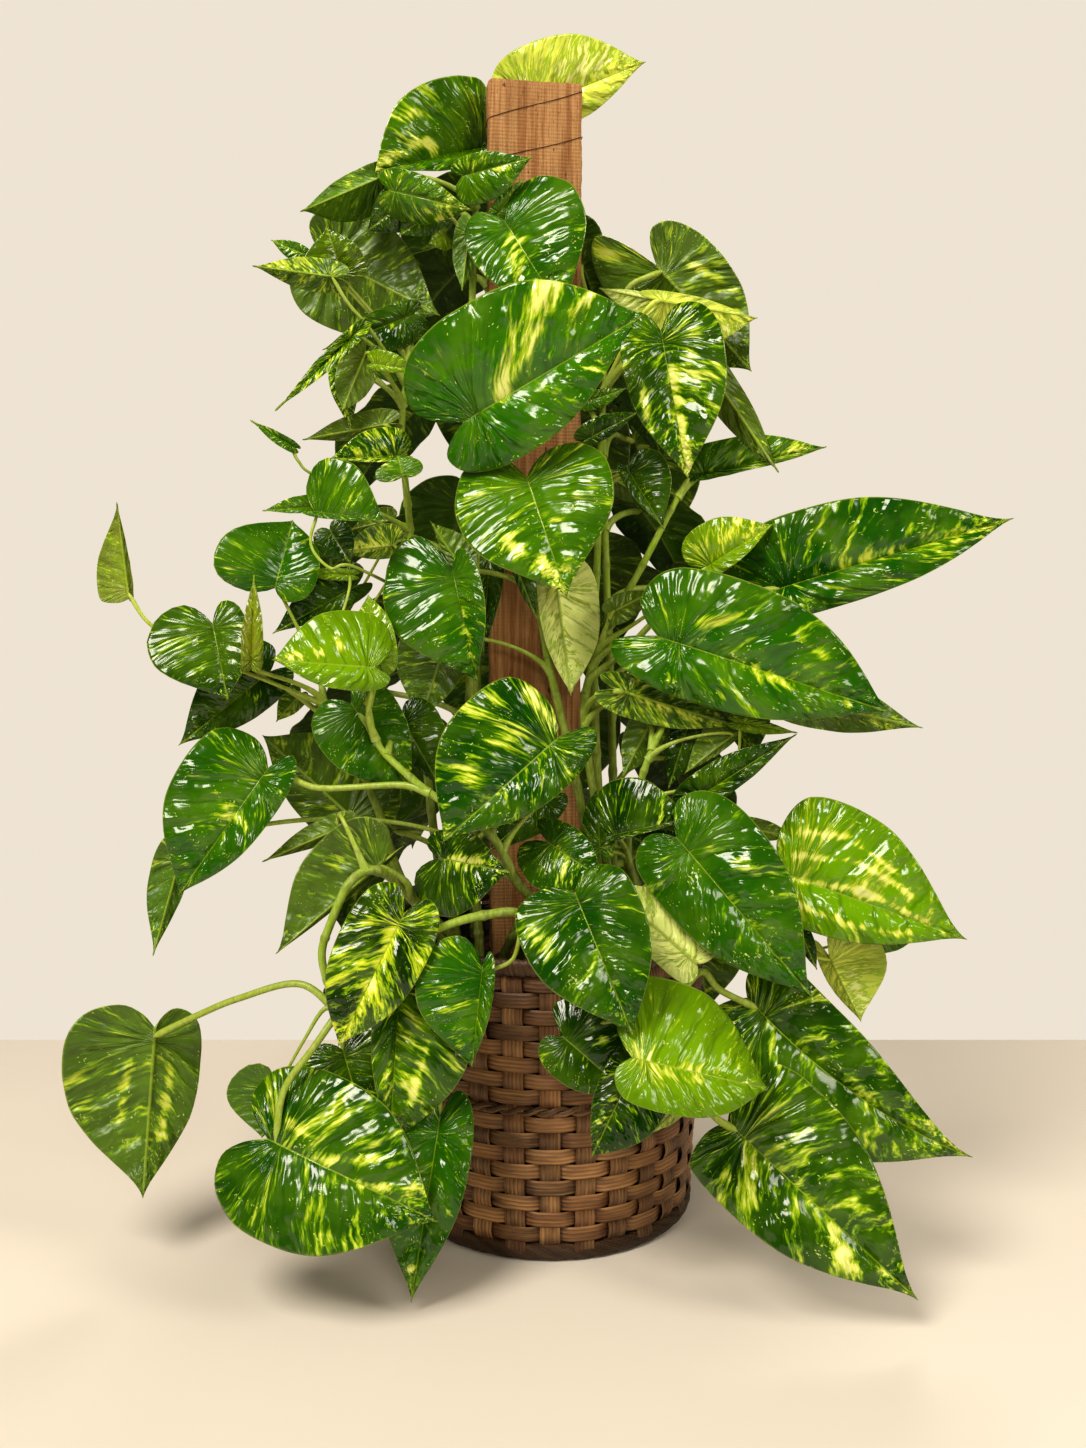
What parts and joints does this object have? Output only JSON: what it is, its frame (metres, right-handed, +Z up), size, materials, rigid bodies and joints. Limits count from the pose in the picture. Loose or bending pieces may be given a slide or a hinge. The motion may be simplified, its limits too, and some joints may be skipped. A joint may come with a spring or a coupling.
{
  "type": "potted pothos plant",
  "caption": "Variegated trailing pothos climbing a rough wooden board, in a plastic grower's pot set inside a round woven splint basket; a floor or table plant.",
  "frame": {"origin": "centre of the basket's flat underside", "axes": "+Z up along the pot and the board, -Y towards the front of the plant, +X to its right"},
  "size_m": [0.7631, 0.5068, 1.0193],
  "materials": {
    "splint": "satin, grained",
    "trim": "satin, twisted",
    "pot_plastic": "matt black",
    "soil": "rough, crumbly",
    "board_wood": "rough sawn",
    "wire": "dull, dark",
    "leaf": "waxy gloss, green marbled with cream and lime"
  },
  "bodies": {
    "root": {"basket": "splint", "basket_rim": "trim", "basket_band": "trim", "basket_foot": "trim", "nursery_pot": "pot_plastic", "soil": "soil", "board": "board_wood", "tie_top": "wire", "tie_high": "wire", "tie_middle": "wire", "vine_crown": "leaf", "vine_left_high": "leaf", "vine_front_high": "leaf", "vine_right_high": "leaf", "vine_right_long": "leaf", "vine_left_mid": "leaf", "vine_front_left": "leaf", "vine_left_low": "leaf", "vine_front_low": "leaf", "vine_front_right": "leaf", "vine_right_low": "leaf", "vine_right_mid": "leaf", "vine_rear_left": "leaf", "vine_rear_mid": "leaf", "vine_rear_right": "leaf", "vine_rear_trail_left": "leaf", "vine_rear_trail_right": "leaf"}
  },
  "joints": []
}
